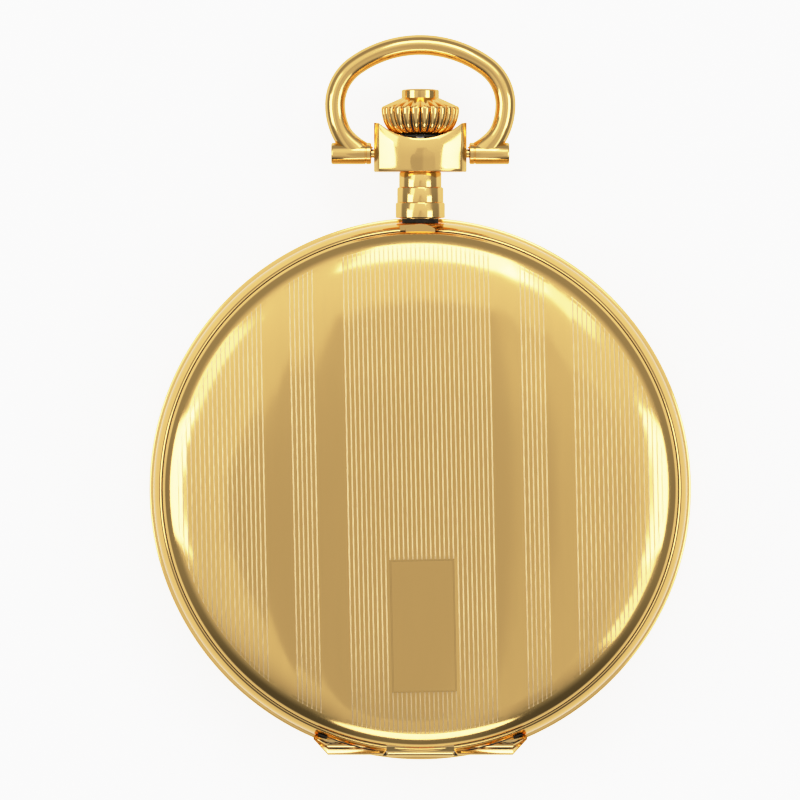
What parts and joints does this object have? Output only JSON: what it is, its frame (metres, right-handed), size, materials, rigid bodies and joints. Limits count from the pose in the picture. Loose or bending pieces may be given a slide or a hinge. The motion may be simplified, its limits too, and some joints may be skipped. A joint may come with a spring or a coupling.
{
  "type": "full hunter pocket watch",
  "caption": "Full hunter pocket watch with an engine-turned hinged front lid, stepped pendant, fluted crown with a release button, wire bow and a hand-wound movement inside.",
  "frame": {"origin": "middle of the case, on the flat back that the watch rests on", "axes": "+Z from the back to the front lid, +Y from the hinge towards the pendant and bow, +X to the right as the lid is seen from the front"},
  "size_m": [0.05, 0.0668, 0.013],
  "materials": {
    "case_gold": "polished yellow gold plate",
    "lid_gold": "engine-turned yellow gold plate",
    "inner_gold": "satin yellow gold plate",
    "brass": "brushed, gilt",
    "nickel": "striped, nickel plated",
    "steel": "polished steel",
    "blued_steel": "heat-blued steel",
    "hands": "heat-blued steel",
    "dial": "white enamel",
    "numerals": "black enamel",
    "ruby": "synthetic ruby",
    "crystal": "clear mineral glass",
    "gasket": "matt"
  },
  "bodies": {
    "case": {"back_cover": "case_gold", "case_band": "case_gold", "dust_cover": "inner_gold", "hinge_bar": "case_gold", "hinge_pin": "steel", "lift_spring": "blued_steel", "lock_spring_screw": "steel", "crystal_bezel": "case_gold", "crystal": "crystal", "crystal_gasket": "gasket", "pendant_neck": "case_gold", "pendant_head": "case_gold", "bow_pins": "case_gold", "movement_ring": "brass", "case_screws": "steel", "dial": "dial", "hour_numerals": "numerals", "main_plate": "nickel", "barrel_bridge": "nickel", "train_bridge": "nickel", "balance_cock": "nickel", "pallet_bridge": "nickel", "jewels": "ruby", "bridge_screws": "steel"},
    "lid": {"front_lid": "lid_gold", "lid_knuckle": "case_gold"},
    "bow": {"bow": "case_gold"},
    "stem_arbor": {"winding_arbor": "steel"},
    "crown": {"crown": "case_gold", "winding_stem": "steel"},
    "button": {"release_button": "case_gold", "button_spring": "steel"},
    "lock": {"lock_spring": "blued_steel"},
    "crown_gear": {"crown_wheel": "steel"},
    "spring_arbor": {"barrel_arbor": "steel", "ratchet_wheel": "steel"},
    "click": {"click": "steel"},
    "drum": {"barrel": "brass", "mainspring": "blued_steel"},
    "center": {"center_wheel": "brass", "cannon_pinion": "steel", "minute_hand": "hands"},
    "third": {"third_wheel": "brass"},
    "seconds": {"fourth_wheel": "brass", "seconds_hand": "hands"},
    "escape": {"escape_wheel": "steel"},
    "pallets": {"pallet_fork": "steel"},
    "balance": {"balance_wheel": "brass", "hairspring": "blued_steel"},
    "minute_gear": {"minute_wheel": "brass"},
    "hours": {"hour_wheel": "brass", "hour_hand": "hands"}
  },
  "joints": [
    {"name": "lid_open", "type": "hinge", "parent": "case", "child": "lid", "pos_m": [0, -0.024, 0.0086], "axis": [1, 0, 0], "range_deg": [0, 100]},
    {"name": "bow_swing", "type": "hinge", "parent": "case", "child": "bow", "pos_m": [0, 0.0309, 0.0059], "axis": [1, 0, 0], "range_deg": [-90, 90]},
    {"name": "crown_turn", "type": "hinge", "parent": "case", "child": "stem_arbor", "pos_m": [0, 0.018, 0.0059], "axis": [0, 1, 0], "continuous": true},
    {"name": "crown_pull", "type": "slide", "parent": "stem_arbor", "child": "crown", "axis": [0, 1, 0], "range_m": [0, 0.0008]},
    {"name": "button_press", "type": "slide", "parent": "crown", "child": "button", "axis": [0, -1, 0], "range_m": [0, 0.0006], "stiffness_N_per_m": 800},
    {"name": "lock_spring_flex", "type": "hinge", "parent": "case", "child": "lock", "pos_m": [0.01797, 0.01038, 0.0072], "axis": [0, 0, 1], "range_deg": [0, 2.2]},
    {"name": "crown_wheel_turn", "type": "hinge", "parent": "case", "child": "crown_gear", "pos_m": [0, 0.01445, 0.0052], "axis": [0, 0, -1], "continuous": true},
    {"name": "ratchet_turn", "type": "hinge", "parent": "case", "child": "spring_arbor", "pos_m": [-0.00662, 0.00662, 0.0052], "axis": [0, 0, -1], "continuous": true},
    {"name": "click_swing", "type": "hinge", "parent": "case", "child": "click", "pos_m": [-0.01334, 0.00192, 0.0052], "axis": [0, 0, 1], "range_deg": [0, 8], "stiffness_Nm_per_rad": 0.0001},
    {"name": "barrel_turn", "type": "hinge", "parent": "case", "child": "drum", "pos_m": [-0.00662, 0.00662, 0.0052], "axis": [0, 0, -1], "continuous": true},
    {"name": "minute_hand_turn", "type": "hinge", "parent": "case", "child": "center", "pos_m": [0, 0, 0.0052], "axis": [0, 0, -1], "continuous": true},
    {"name": "third_wheel_turn", "type": "hinge", "parent": "case", "child": "third", "pos_m": [0.0039, -0.0052, 0.0052], "axis": [0, 0, -1], "continuous": true},
    {"name": "seconds_hand_turn", "type": "hinge", "parent": "case", "child": "seconds", "pos_m": [0, -0.0095, 0.0052], "axis": [0, 0, -1], "continuous": true},
    {"name": "escape_wheel_turn", "type": "hinge", "parent": "case", "child": "escape", "pos_m": [-0.00431, -0.0116, 0.0052], "axis": [0, 0, -1], "continuous": true},
    {"name": "pallet_swing", "type": "hinge", "parent": "case", "child": "pallets", "pos_m": [-0.00761, -0.0106, 0.0052], "axis": [0, 0, -1], "range_deg": [-2, 2]},
    {"name": "balance_swing", "type": "hinge", "parent": "case", "child": "balance", "pos_m": [-0.01091, -0.0066, 0.0052], "axis": [0, 0, -1], "range_deg": [-20, 20], "stiffness_Nm_per_rad": 0.0000004},
    {"name": "minute_wheel_turn", "type": "hinge", "parent": "case", "child": "minute_gear", "pos_m": [0.00245, 0.00206, 0.0052], "axis": [0, 0, -1], "continuous": true},
    {"name": "hour_hand_turn", "type": "hinge", "parent": "case", "child": "hours", "pos_m": [0, 0, 0.0052], "axis": [0, 0, -1], "continuous": true}
  ],
  "couplings": [
    {"joint": "lock_spring_flex", "follows": "button_press", "rad_per_m": 55.648},
    {"joint": "crown_wheel_turn", "follows": "crown_turn", "ratio": -0.4375},
    {"joint": "ratchet_turn", "follows": "crown_turn", "ratio": 0.28},
    {"joint": "third_wheel_turn", "follows": "seconds_hand_turn", "ratio": -0.13333},
    {"joint": "minute_hand_turn", "follows": "seconds_hand_turn", "ratio": 0.016667},
    {"joint": "barrel_turn", "follows": "seconds_hand_turn", "ratio": -0.0025641},
    {"joint": "escape_wheel_turn", "follows": "seconds_hand_turn", "ratio": -10},
    {"joint": "minute_wheel_turn", "follows": "seconds_hand_turn", "ratio": -0.0055556},
    {"joint": "hour_hand_turn", "follows": "seconds_hand_turn", "ratio": 0.0013889}
  ]
}
